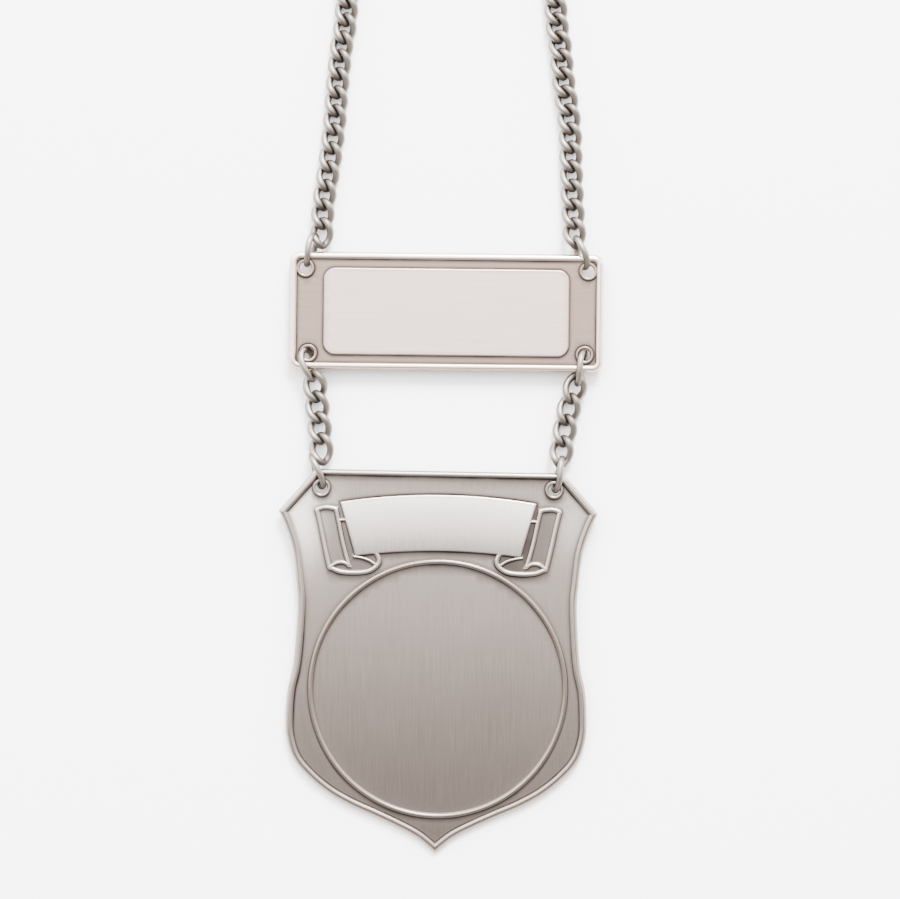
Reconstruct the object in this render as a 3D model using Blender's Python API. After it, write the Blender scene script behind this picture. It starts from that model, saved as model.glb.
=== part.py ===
"""Carnival prince chain, laid on its back on a table.

A cast shield pendant hangs from a cast name plate by two short curb chains, and the plate
hangs from a long curb neck chain. Metres, +Z up. +Y runs from the shield to the neck and
+X to the right as seen from the front. The origin is under the middle of the whole thing.
"""

import math

import bmesh
import bpy
from mathutils import Matrix, Vector

MM = 0.001

# Both castings: a plain slab with rims, bosses and ornament raised on its front
FIELD_THICKNESS = 1.2 * MM
RELIEF = 0.6 * MM
RIM_WIDTH = 1.4 * MM
RELIEF_ROOT = 0.5 * MM  # how deep a raised piece is rooted in the slab
EYELET_HOLE_RADIUS = 1.7 * MM
EYELET_BOSS_RADIUS = 2.7 * MM
EYELET_SIDES = 16
BOSS_BELOW_RIM = 0.3  # mm

# Name plate
PLATE_WIDTH = 88.2 * MM
PLATE_HEIGHT = 33.0 * MM
PLATE_CORNER_RADIUS = 2.8 * MM
PANEL_WIDTH = 69.2 * MM
PANEL_HEIGHT = 24.0 * MM
PANEL_CORNER_RADIUS = 3.3 * MM
PLATE_EYELET_X = 39.6 * MM
PLATE_EYELET_Y = 11.95 * MM
PLATE_CENTRE = Vector((1.8 * MM, -68.0 * MM))
PLATE_TURN = math.radians(-0.5)

# Shield, measured from the middle of its emblem ring
RING_MID_RADIUS = 35.85 * MM
RING_WIDTH = 1.5 * MM
RING_SIDES = 44
SHIELD_CENTRE = Vector((-0.75 * MM, -174.15 * MM))
SHIELD_TURN = math.radians(-0.75)
SHIELD_EYELET_X = 32.9 * MM
SHIELD_EYELET_Y = 55.9 * MM
# Right half of the outline in mm: the straight top, then the curve from the shoulder to the tip
SHIELD_TOP_MIDDLE = (0.0, 61.1)
SHIELD_TOP_CORNER = (34.1, 60.6)
SHIELD_SIDE = [
    (45.2, 49.8),
    (41.6, 44.2),
    (39.8, 37.0),
    (39.3, 26.0),
    (40.2, 11.0),
    (42.3, 0.0),
    (42.6, -8.0),
    (40.0, -20.0),
    (33.0, -28.0),
    (20.5, -35.0),
    (8.0, -40.9),
    (0.0, -46.5),
]
SIDE_STEPS = 2  # straight steps between two points of the side

# Banner across the top of the shield, in mm: corners of its right half and its two arches
BANNER_TOP_CORNER = (27.8, 52.2)
BANNER_BOTTOM_CORNER = (23.2, 37.4)
BANNER_TOP_MIDDLE = 54.8
BANNER_BOTTOM_MIDDLE = 38.6
BANNER_STEPS = 5
# Raised lines of the ribbon's right folded end, in mm, with the height that each stands short of
# the rim, so that no two tops lie in one plane
RIBBON_LINE_WIDTH = 1.0 * MM
RIBBON_LINES = {
    "outer edge and curl": (
        0.10,
        [
            (29.4, 50.1), (31.9, 50.7), (34.2, 50.4), (32.3, 42.3), (30.7, 34.0), (27.6, 32.9),
            (23.5, 32.3), (19.4, 32.7), (17.2, 33.9), (16.4, 35.5), (17.0, 38.6),
        ],
    ),
    "inner edge and fold": (
        0.13,
        [(29.4, 50.1), (28.4, 46.9), (27.0, 39.5), (25.7, 34.2), (28.2, 35.3), (30.6, 34.5)],
    ),
    "curl behind": (0.16, [(20.6, 37.4), (18.5, 36.0), (16.9, 34.8)]),
    "fold bar": (0.19, [(28.7, 47.2), (26.0, 47.3)]),
}

# Round wire curb links: half length and half width of the wire's centre line, and how far
# that line rises and falls as the link is twisted
WIRE_RADIUS = 0.9 * MM
LINK_SIDES = 10
WIRE_SIDES = 5
NECK_LINK = (3.87 * MM, 2.45 * MM, 1.1 * MM)
SHORT_LINK = (4.05 * MM, 2.55 * MM, 1.1 * MM)
END_LINK = (4.45 * MM, 3.0 * MM, 0.1 * MM)

# Neck chain: two halves of equal links, drawn tight at the plate and slacker further up
NECK_LINKS_PER_SIDE = 55
TIGHT_PITCH = 5.46 * MM
SLACK_PITCH = 5.05 * MM
TIGHT_TO_SLACK_LINKS = 12
NECK_TURN_RADIUS = 23.5 * MM
NECK_TURN_X = 3.1 * MM
# Middle line of the two strands in mm, from the plate up
NECK_LEFT = [(-33.5, -46.4), (-31.2, -26.7), (-28.8, -4.1), (-26.3, 18.5)]
NECK_RIGHT = [(38.0, -46.8), (36.9, -26.7), (35.0, -4.1), (32.4, 18.5)]
NECK_TAPER = [(0.33, 0.40), (0.66, 0.10), (0.9, 0.0)]  # share of the way up, share still to close

# Standing end links, one through each eyelet: the casting, the side of the eyelet on it, and
# how far the link leans over sideways in degrees
END_LINKS = {
    "plate_top_left_link": ("plate", -1, 1, -14.0),
    "plate_top_right_link": ("plate", 1, 1, -12.0),
    "plate_bottom_left_link": ("plate", -1, -1, -9.0),
    "plate_bottom_right_link": ("plate", 1, -1, -5.0),
    "shield_left_link": ("shield", -1, 1, -9.0),
    "shield_right_link": ("shield", 1, 1, -5.0),
}
WIRES_APART = 2.4 * MM  # between the middles of two wires that pull on each other

# Short chains: four lying links each, with the middles of the first and last and of the bend
# between them in mm
SHORT_CHAINS = {
    "left_chain_link": [(-35.3, -89.7), (-34.2, -98.7), (-33.6, -107.5)],
    "right_chain_link": [(38.0, -90.2), (35.6, -99.1), (34.15, -108.35)],
}
SHORT_LINKS = 4

# Heights at which things lie: chains rise in a curve towards the end links that hold them
LINK_HEIGHT = 2.05 * MM
NECK_LIFT = (1.0 * MM, 12.0 * MM)
SHORT_LIFT = (0.95 * MM, 8.8 * MM)
CASTING_HEIGHT = 2.75 * MM  # of a casting's back where end links run under it


def clear_scene():
    for thing in list(bpy.data.objects):
        bpy.data.objects.remove(thing)


def metal(name, colour, roughness):
    """A metal surface of one colour."""
    surface = bpy.data.materials.new(name)
    surface.use_nodes = True
    shader = surface.node_tree.nodes["Principled BSDF"]
    shader.inputs["Base Color"].default_value = (*colour, 1.0)
    shader.inputs["Metallic"].default_value = 1.0
    shader.inputs["Roughness"].default_value = roughness
    return surface


def add_object(name, mesh_data, surface=None):
    """Puts a bmesh into the scene as one named object. Without a surface it is a cutter or a guide."""
    mesh = bpy.data.meshes.new(name)
    bmesh.ops.recalc_face_normals(mesh_data, faces=mesh_data.faces)
    mesh_data.to_mesh(mesh)
    mesh_data.free()
    thing = bpy.data.objects.new(name, mesh)
    bpy.context.scene.collection.objects.link(thing)
    if surface:
        mesh.materials.append(surface)
    else:
        thing.hide_render = True
        thing.display_type = "WIRE"
    return thing


def prism(outline, low, high):
    """A closed solid with this outline between two heights."""
    shape = bmesh.new()
    bottom = shape.faces.new([shape.verts.new((x, y, low)) for x, y in outline])
    raised = bmesh.ops.extrude_face_region(shape, geom=[bottom])["geom"]
    top = [part for part in raised if isinstance(part, bmesh.types.BMVert)]
    bmesh.ops.translate(shape, verts=top, vec=(0, 0, high - low))
    bmesh.ops.recalc_face_normals(shape, faces=shape.faces)
    return shape


def circle(radius, sides, centre=(0.0, 0.0)):
    """Points round a circle."""
    angles = [math.tau * (index + 0.5) / sides for index in range(sides)]
    return [(centre[0] + radius * math.cos(a), centre[1] + radius * math.sin(a)) for a in angles]


def rounded_rectangle(width, height, radius, steps=4):
    """Points round a rectangle with arcs for corners."""
    points = []
    for quarter, (side_x, side_y) in enumerate(((1, 1), (-1, 1), (-1, -1), (1, -1))):
        middle = (side_x * (width / 2 - radius), side_y * (height / 2 - radius))
        for step in range(steps + 1):
            angle = math.pi / 2 * (quarter + step / steps)
            points.append((middle[0] + radius * math.cos(angle), middle[1] + radius * math.sin(angle)))
    return points


def smooth_through(points, steps):
    """Points on a smooth curve through the given ones, with this many steps between two of them."""
    line = [Vector(point) for point in points]
    before = [2 * line[0] - line[1]] + line
    after = line + [2 * line[-1] - line[-2]]
    curve = []
    for index in range(len(line) - 1):
        start, end = line[index], line[index + 1]
        leave = (end - before[index]) / 2
        arrive = (after[index + 2] - start) / 2
        for step in range(steps):
            t = step / steps
            curve.append(
                (2 * t**3 - 3 * t**2 + 1) * start
                + (t**3 - 2 * t**2 + t) * leave
                + (3 * t**2 - 2 * t**3) * end
                + (t**3 - t**2) * arrive
            )
    return curve + [line[-1]]


def mirrored(half):
    """A closed outline from its right half, which runs from the top middle to the bottom middle."""
    left = [(-x, y) for x, y in reversed(half) if x > 1e-9]
    return [tuple(point) for point in half] + left


def scaled(points):
    return [(x * MM, y * MM) for x, y in points]


def stroke(points, width):
    """The outline of a band of this width that follows the points."""
    line = [Vector(point) for point in points]
    left, right = [], []
    for index, point in enumerate(line):
        into = (point - line[index - 1]).normalized() if index else None
        out = (line[index + 1] - point).normalized() if index + 1 < len(line) else None
        into, out = into or out, out or into
        along = (into + out).normalized()
        reach = width / 2 / max(along.dot(into), 0.5)
        across = Vector((-along.y, along.x)) * reach
        left.append(tuple(point + across))
        right.append(tuple(point - across))
    return left + right[::-1]


def slab(name, outline, surface):
    """A casting's body: the outline up to the field, with the rim raised round its edge."""
    shape = prism(outline, 0.0, FIELD_THICKNESS)
    top = [face for face in shape.faces if face.normal.z > 0.9]
    rim = bmesh.ops.inset_region(
        shape, faces=top, thickness=RIM_WIDTH, use_even_offset=True, use_boundary=True
    )["faces"]
    raised = bmesh.ops.extrude_face_region(shape, geom=rim)["geom"]
    tops = [part for part in raised if isinstance(part, bmesh.types.BMVert)]
    bmesh.ops.translate(shape, verts=tops, vec=(0, 0, RELIEF))
    bmesh.ops.delete(shape, geom=rim, context="FACES_ONLY")
    return add_object(name, shape, surface)


def combine(target, other, operation):
    """Adds the other solid to the target, or takes it away."""
    change = target.modifiers.new(other.name, "BOOLEAN")
    change.operation = operation
    change.solver = "EXACT"
    change.object = other
    other.parent = target


def raise_shape(target, name, outline, below_rim=0.0):
    """Raises a flat shape on a casting's field. It stays this many mm below the top of the rim."""
    top = FIELD_THICKNESS + RELIEF - below_rim * MM
    combine(target, add_object(name, prism(outline, FIELD_THICKNESS - RELIEF_ROOT, top)), "UNION")


def add_eyelets(target, places):
    """A raised boss with a hole through it at each place."""
    margin = 1.0 * MM
    for number, place in enumerate(places):
        boss = circle(EYELET_BOSS_RADIUS, EYELET_SIDES, place)
        raise_shape(target, f"{target.name}_boss_{number}", boss, BOSS_BELOW_RIM)
        hole = circle(EYELET_HOLE_RADIUS, EYELET_SIDES, place)
        high = FIELD_THICKNESS + RELIEF + margin
        cutter = add_object(f"{target.name}_hole_{number}", prism(hole, -margin, high))
        combine(target, cutter, "DIFFERENCE")


def plate_eyelets():
    x, y = PLATE_EYELET_X, PLATE_EYELET_Y
    return [(-x, y), (x, y), (-x, -y), (x, -y)]


def shield_eyelets():
    return [(-SHIELD_EYELET_X, SHIELD_EYELET_Y), (SHIELD_EYELET_X, SHIELD_EYELET_Y)]


def build_plate(surface):
    """The name plate: a rimmed slab, a blank raised panel and four eyelets."""
    outline = rounded_rectangle(PLATE_WIDTH, PLATE_HEIGHT, PLATE_CORNER_RADIUS)
    plate = slab("name_plate", outline, surface)
    panel = rounded_rectangle(PANEL_WIDTH, PANEL_HEIGHT, PANEL_CORNER_RADIUS)
    raise_shape(plate, "name_panel", panel)
    add_eyelets(plate, plate_eyelets())
    return plate


def shield_outline():
    """Points round the shield's edge."""
    side = smooth_through(SHIELD_SIDE, SIDE_STEPS)
    half = [SHIELD_TOP_MIDDLE, SHIELD_TOP_CORNER] + [tuple(point) for point in side]
    return scaled(mirrored(half))


def banner_outline():
    """Points round the blank banner, whose top and bottom are arched."""

    def arch(share, edge, middle):
        return middle + (edge - middle) * share**2

    shares = [step / BANNER_STEPS for step in range(BANNER_STEPS + 1)]
    top_x, top_y = BANNER_TOP_CORNER
    low_x, low_y = BANNER_BOTTOM_CORNER
    top = [(top_x * share, arch(share, top_y, BANNER_TOP_MIDDLE)) for share in shares]
    bottom = [(low_x * share, arch(share, low_y, BANNER_BOTTOM_MIDDLE)) for share in shares]
    return scaled(mirrored(top + bottom[::-1]))


def raise_ring(target):
    """The ring round the emblem field, as a band with a hole."""
    shape = bmesh.new()
    loops = []
    for radius in (RING_MID_RADIUS - RING_WIDTH / 2, RING_MID_RADIUS + RING_WIDTH / 2):
        corners = [shape.verts.new((x, y, FIELD_THICKNESS - RELIEF_ROOT)) for x, y in circle(radius, RING_SIDES)]
        loops += [shape.edges.new((corners[i - 1], corners[i])) for i in range(RING_SIDES)]
    band = bmesh.ops.bridge_loops(shape, edges=loops)["faces"]
    raised = bmesh.ops.extrude_face_region(shape, geom=band)["geom"]
    top = [part for part in raised if isinstance(part, bmesh.types.BMVert)]
    bmesh.ops.translate(shape, verts=top, vec=(0, 0, RELIEF_ROOT + RELIEF - 0.03 * MM))
    combine(target, add_object("emblem_ring", shape), "UNION")


def build_shield(surface):
    """The shield: a rimmed slab, the emblem ring, the banner with folded ends and two eyelets."""
    shield = slab("shield", shield_outline(), surface)
    raise_ring(shield)
    raise_shape(shield, "banner", banner_outline())
    for side in (-1, 1):
        for name, (below_rim, points) in RIBBON_LINES.items():
            line = scaled([(side * x, y) for x, y in points])
            raise_shape(shield, f"ribbon {name} {side}", stroke(line, RIBBON_LINE_WIDTH), below_rim)
    add_eyelets(shield, shield_eyelets())
    return shield


def link_rings(shape, size, place):
    """The corners of one twisted link, ring by ring, put where the matrix says."""
    half_length, half_width, twist = size
    rings = []
    for step in range(LINK_SIDES):
        angle = math.tau * step / LINK_SIDES
        x, y = math.cos(angle), math.sin(angle)
        # The straight sides cut inside the curve, so the corners stand a little outside it
        outside = 2 / (1 + math.cos(math.pi / LINK_SIDES))
        centre = Vector((half_width * x * outside, half_length * y * outside, twist * math.sin(2 * angle)))
        along = Vector((-half_width * y, half_length * x, 2 * twist * math.cos(2 * angle))).normalized()
        inward = Vector((-x / half_width, -y / half_length, 0))
        inward = (inward - along * inward.dot(along)).normalized()
        across = along.cross(inward)
        ring = []
        for side in range(WIRE_SIDES):
            turn = math.tau * (side - 0.5) / WIRE_SIDES
            corner = centre + (inward * math.cos(turn) + across * math.sin(turn)) * WIRE_RADIUS
            ring.append(shape.verts.new(place @ corner))
        rings.append(ring)
    return rings


def add_link(shape, size, place, open_ends=()):
    """One link's faces. The inner face at each open end is left out, and its edges are returned."""
    rings = link_rings(shape, size, place)
    # The wire runs across the link's two ends in the middle of these steps
    ends = {"far": LINK_SIDES // 4, "near": LINK_SIDES // 4 + LINK_SIDES // 2}
    skipped = {ends[end]: end for end in open_ends}
    holes = {}
    for step, ring in enumerate(rings):
        following = rings[(step + 1) % LINK_SIDES]
        for side in range(WIRE_SIDES):
            after = (side + 1) % WIRE_SIDES
            corners = (ring[side], following[side], following[after], ring[after])
            face = shape.faces.new(corners)
            if side == 0 and step in skipped:
                holes[skipped[step]] = list(face.edges)
                shape.faces.remove(face)
    return holes


def fused_chain(name, size, places, surface):
    """A chain as one body: each link meets the next where their wires bear on each other."""
    shape = bmesh.new()
    last = None
    for index, place in enumerate(places):
        open_ends = [end for end, wanted in (("near", index > 0), ("far", index + 1 < len(places))) if wanted]
        holes = add_link(shape, size, place, open_ends)
        if last:
            bmesh.ops.bridge_loops(shape, edges=last + holes["near"])
        last = holes.get("far")
    return add_object(name, shape, surface)


def single_link(name, size, place, surface):
    shape = bmesh.new()
    add_link(shape, size, place)
    return add_object(name, shape, surface)


def link_place(centre, direction, roll=0.0):
    """Where a link goes: its length along the direction, lying flat at no roll."""
    along = direction.normalized()
    side = along.cross(Vector((0, 0, 1))).normalized()
    up = side.cross(along)
    turned = Matrix((side, along, up)).transposed().to_4x4()
    return Matrix.Translation(centre) @ turned @ Matrix.Rotation(roll, 4, "Y")


def neck_pitches():
    """The distance from each link of the neck chain to the next, from plate to plate."""
    count = 2 * NECK_LINKS_PER_SIDE - 1
    pitches = []
    for index in range(count):
        from_plate = min(index, count - 1 - index)
        slack = min(from_plate / TIGHT_TO_SLACK_LINKS, 1.0)
        pitches.append(TIGHT_PITCH + (SLACK_PITCH - TIGHT_PITCH) * slack)
    return pitches


def neck_line(turn_y):
    """The neck chain's middle line, with its round turn starting at this height."""
    left, right = scaled(NECK_LEFT), scaled(NECK_RIGHT)
    for strand, side in ((left, -1), (right, 1)):
        last = Vector(strand[-1])
        goal = Vector((NECK_TURN_X + side * NECK_TURN_RADIUS, turn_y))
        for share, open_share in NECK_TAPER:
            x = goal.x + (last.x - goal.x) * open_share
            strand.append((x, last.y + (goal.y - last.y) * share))
    turn = []
    for step in range(9):
        angle = math.pi * (1 - step / 8)
        x = NECK_TURN_X + NECK_TURN_RADIUS * math.cos(angle)
        turn.append((x, turn_y + NECK_TURN_RADIUS * math.sin(angle)))
    return smooth_through(left + turn + right[::-1], 24)


def line_length(line):
    return sum((b - a).length for a, b in zip(line, line[1:]))


def places_along(line, pitches, lift):
    """Where a chain's links go: along the line, each its pitch from the last, risen at both ends."""
    rise, rise_length = lift
    wanted = [sum(pitches[:index]) for index in range(len(pitches) + 1)]
    places = []
    walked = 0.0
    for start, end in zip(line, line[1:]):
        step = (end - start).length
        while len(places) < len(wanted) and wanted[len(places)] <= walked + step + 1e-7:
            at = wanted[len(places)]
            point = start + (end - start) * ((at - walked) / step)
            share = max(0.0, 1 - min(at, wanted[-1] - at) / rise_length)
            slope = 2 * rise * share / rise_length
            slope = -slope if at < wanted[-1] / 2 else slope
            centre = Vector((point.x, point.y, LINK_HEIGHT + rise * share**2))
            flat = (end - start).normalized()
            places.append(link_place(centre, Vector((flat.x, flat.y, slope))))
        walked += step
    return places


def neck_places():
    """Places of all the neck chain's links, from the left end at the plate to the right one."""
    pitches = neck_pitches()
    low, high = 20 * MM, 400 * MM
    for _ in range(40):
        turn_y = (low + high) / 2
        too_long = line_length(neck_line(turn_y)) > sum(pitches)
        low, high = (low, turn_y) if too_long else (turn_y, high)
    return places_along(neck_line(turn_y), pitches, NECK_LIFT)


def short_chain_places(points):
    """Places of a short chain's links, the first and last of them at the ends of the bend."""
    line = smooth_through(scaled(points), 8)
    gaps = SHORT_LINKS - 1
    return places_along(line, [line_length(line) / gaps] * gaps, SHORT_LIFT)


def end_link_place(hole, held, size, roll):
    """A link that stands on edge from a casting's hole to the inside of the chain's end link."""
    half_length, half_width, _ = END_LINK
    height = WIRE_RADIUS + half_width * math.cos(math.radians(roll))
    middle = held.to_translation()
    along = held.to_3x3() @ Vector((0, 1, 0))
    if along.dot(middle - hole) < 0:
        along = -along
    far_wire = middle - along * (size[0] - WIRES_APART)
    direction = (far_wire - hole).to_2d().normalized().to_3d()
    centre = far_wire - direction * half_length
    return link_place(Vector((centre.x, centre.y, height)), direction, math.pi / 2 - math.radians(roll))


def shield_tilt():
    """The slope of the shield, which rests on its tip and on the end links under its eyelets."""
    tip_y = SHIELD_SIDE[-1][1] * MM
    return math.asin(CASTING_HEIGHT / (SHIELD_EYELET_Y - tip_y))


def place_castings(plate, shield):
    plate.location = (*PLATE_CENTRE, CASTING_HEIGHT)
    plate.rotation_euler = (0, 0, PLATE_TURN)
    tilt = shield_tilt()
    tip_y = SHIELD_SIDE[-1][1] * MM
    shield.location = (*SHIELD_CENTRE, -tip_y * math.sin(tilt))
    shield.rotation_euler = (tilt, 0, SHIELD_TURN)
    bpy.context.view_layer.update()


def put_origin_under_middle():
    """Moves everything so that the origin is under the middle of the box round it."""
    bpy.context.view_layer.update()
    graph = bpy.context.evaluated_depsgraph_get()
    solids = [thing for thing in bpy.context.scene.objects if not thing.hide_render]
    corners = []
    for thing in solids:
        evaluated = thing.evaluated_get(graph)
        corners += [thing.matrix_world @ vertex.co for vertex in evaluated.to_mesh().vertices]
    low = Vector([min(corner[axis] for corner in corners) for axis in range(3)])
    high = Vector([max(corner[axis] for corner in corners) for axis in range(3)])
    shift = Vector(((low.x + high.x) / 2, (low.y + high.y) / 2, low.z))
    for thing in solids:
        thing.location -= shift


def main():
    clear_scene()
    cast = metal("antique_silvered_casting", (0.52, 0.50, 0.48), 0.42)
    wire = metal("satin_silvered_wire", (0.60, 0.59, 0.56), 0.36)
    plate = build_plate(cast)
    shield = build_shield(cast)
    place_castings(plate, shield)
    neck = neck_places()
    fused_chain("neck_chain_left", NECK_LINK, neck[:NECK_LINKS_PER_SIDE], wire)
    fused_chain("neck_chain_right", NECK_LINK, neck[NECK_LINKS_PER_SIDE:], wire)
    held = {("plate", -1, 1): (neck[0], NECK_LINK), ("plate", 1, 1): (neck[-1], NECK_LINK)}
    for (name, points), side in zip(SHORT_CHAINS.items(), (-1, 1)):
        places = short_chain_places(points)
        held["plate", side, -1] = (places[0], SHORT_LINK)
        held["shield", side, 1] = (places[-1], SHORT_LINK)
        for number, place in enumerate(places, start=1):
            single_link(f"{name}_{number}", SHORT_LINK, place, wire)
    eyelets = {
        "plate": (plate, PLATE_EYELET_X, PLATE_EYELET_Y),
        "shield": (shield, SHIELD_EYELET_X, SHIELD_EYELET_Y),
    }
    for name, (holder, side_x, side_y, roll) in END_LINKS.items():
        casting, x, y = eyelets[holder]
        hole = casting.matrix_world @ Vector((side_x * x, side_y * y, 0.0))
        place, size = held[holder, side_x, side_y]
        single_link(name, END_LINK, end_link_place(hole, place, size, roll), wire)
    put_origin_under_middle()


main()
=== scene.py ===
"""Looks of the carnival prince chain.

A cast shield and a cast name plate in antique silver hang on curb chains of satin wire. They lie on
a pale table and are seen from straight above. Lengths are millimetres and angles are degrees,
unless a name, a comment or a docstring says otherwise.
"""

import logging
import math
import random
from abc import ABC, abstractmethod
from dataclasses import dataclass, field
from enum import Enum

import bmesh
import bpy
import numpy as np
from mathutils import Matrix, Vector
from mathutils.geometry import delaunay_2d_cdt

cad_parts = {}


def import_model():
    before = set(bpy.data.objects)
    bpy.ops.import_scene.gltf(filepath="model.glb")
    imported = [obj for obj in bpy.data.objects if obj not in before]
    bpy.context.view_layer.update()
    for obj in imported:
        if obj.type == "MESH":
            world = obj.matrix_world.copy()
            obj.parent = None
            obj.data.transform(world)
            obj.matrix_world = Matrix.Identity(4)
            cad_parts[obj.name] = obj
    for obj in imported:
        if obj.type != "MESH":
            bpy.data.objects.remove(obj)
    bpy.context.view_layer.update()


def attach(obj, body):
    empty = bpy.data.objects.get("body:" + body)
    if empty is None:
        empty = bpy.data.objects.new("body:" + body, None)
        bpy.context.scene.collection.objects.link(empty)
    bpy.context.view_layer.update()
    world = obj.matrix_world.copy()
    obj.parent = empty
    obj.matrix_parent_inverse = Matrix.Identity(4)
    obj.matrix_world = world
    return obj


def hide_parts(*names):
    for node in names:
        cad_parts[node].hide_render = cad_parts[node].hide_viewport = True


log = logging.getLogger("prince_chain")

MM = 0.001
# Below this a length counts as nought
TINY = 1e-6
Point = tuple[float, float]
# A line's points, and whether it goes back to its start
Guide = tuple[np.ndarray, bool]


class Brushing(Enum):
    """Which way the last polishing strokes run: how they squeeze a pattern along X, Y and Z."""

    ACROSS = (1 / 40, 1.0, 1.0)
    DOWN = (1.0, 1 / 40, 1.0)


class Slot(Enum):
    """The finishes that the part's record names."""

    CASTING = "antique_silvered_casting"
    WIRE = "satin_silvered_wire"


# Finishes


def linear(hex_colour: str) -> tuple[float, float, float, float]:
    """Turns an sRGB hex colour into linear light.

    Args:
        hex_colour: Six hex digits after a hash.

    Returns:
        Red, green, blue and an alpha of one.
    """
    parts = [int(hex_colour[i : i + 2], 16) / 255 for i in (1, 3, 5)]
    light = [c / 12.92 if c <= 0.04045 else ((c + 0.055) / 1.055) ** 2.4 for c in parts]
    return (light[0], light[1], light[2], 1.0)


def per_mm(size: float) -> float:
    """The texture scale at which a pattern's features are this many millimetres apart."""
    return 1.0 / (size * MM)


def add_node(
    tree: bpy.types.NodeTree,
    kind: str,
    settings: dict[str | int, object] | None = None,
    links: dict[str | int, bpy.types.Node | bpy.types.NodeSocket] | None = None,
    stops: dict[float, str] | None = None,
) -> bpy.types.Node:
    """Adds a node with its settings and links.

    Args:
        tree: The node tree of a material or world.
        kind: The node's type, without the words that every shader node's type starts with.
        settings: Values, by an input's name or number or by the name of another setting.
        links: What is joined to each input: an output, or a node for its first output.
        stops: The sRGB hex colours of a ramp, by position.

    Returns:
        The new node.
    """
    node = tree.nodes.new("ShaderNode" + kind)
    for key, value in (settings or {}).items():
        if isinstance(key, int) or key in node.inputs:
            node.inputs[key].default_value = value
        else:
            setattr(node, key, value)
    for key, source in (links or {}).items():
        output = source.outputs[0] if isinstance(source, bpy.types.Node) else source
        tree.links.new(output, node.inputs[key])
    for index, (position, colour) in enumerate(sorted((stops or {}).items())):
        row = node.color_ramp.elements
        element = row[index] if index < len(row) else row.new(position)
        element.position = position
        element.color = linear(colour)
    return node


def new_material(name: str) -> bpy.types.Material:
    """Makes an empty node material.

    Args:
        name: The material's name.

    Returns:
        The new material.
    """
    material = bpy.data.materials.new(name)
    material.use_nodes = True
    material.node_tree.nodes.clear()
    return material


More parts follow.
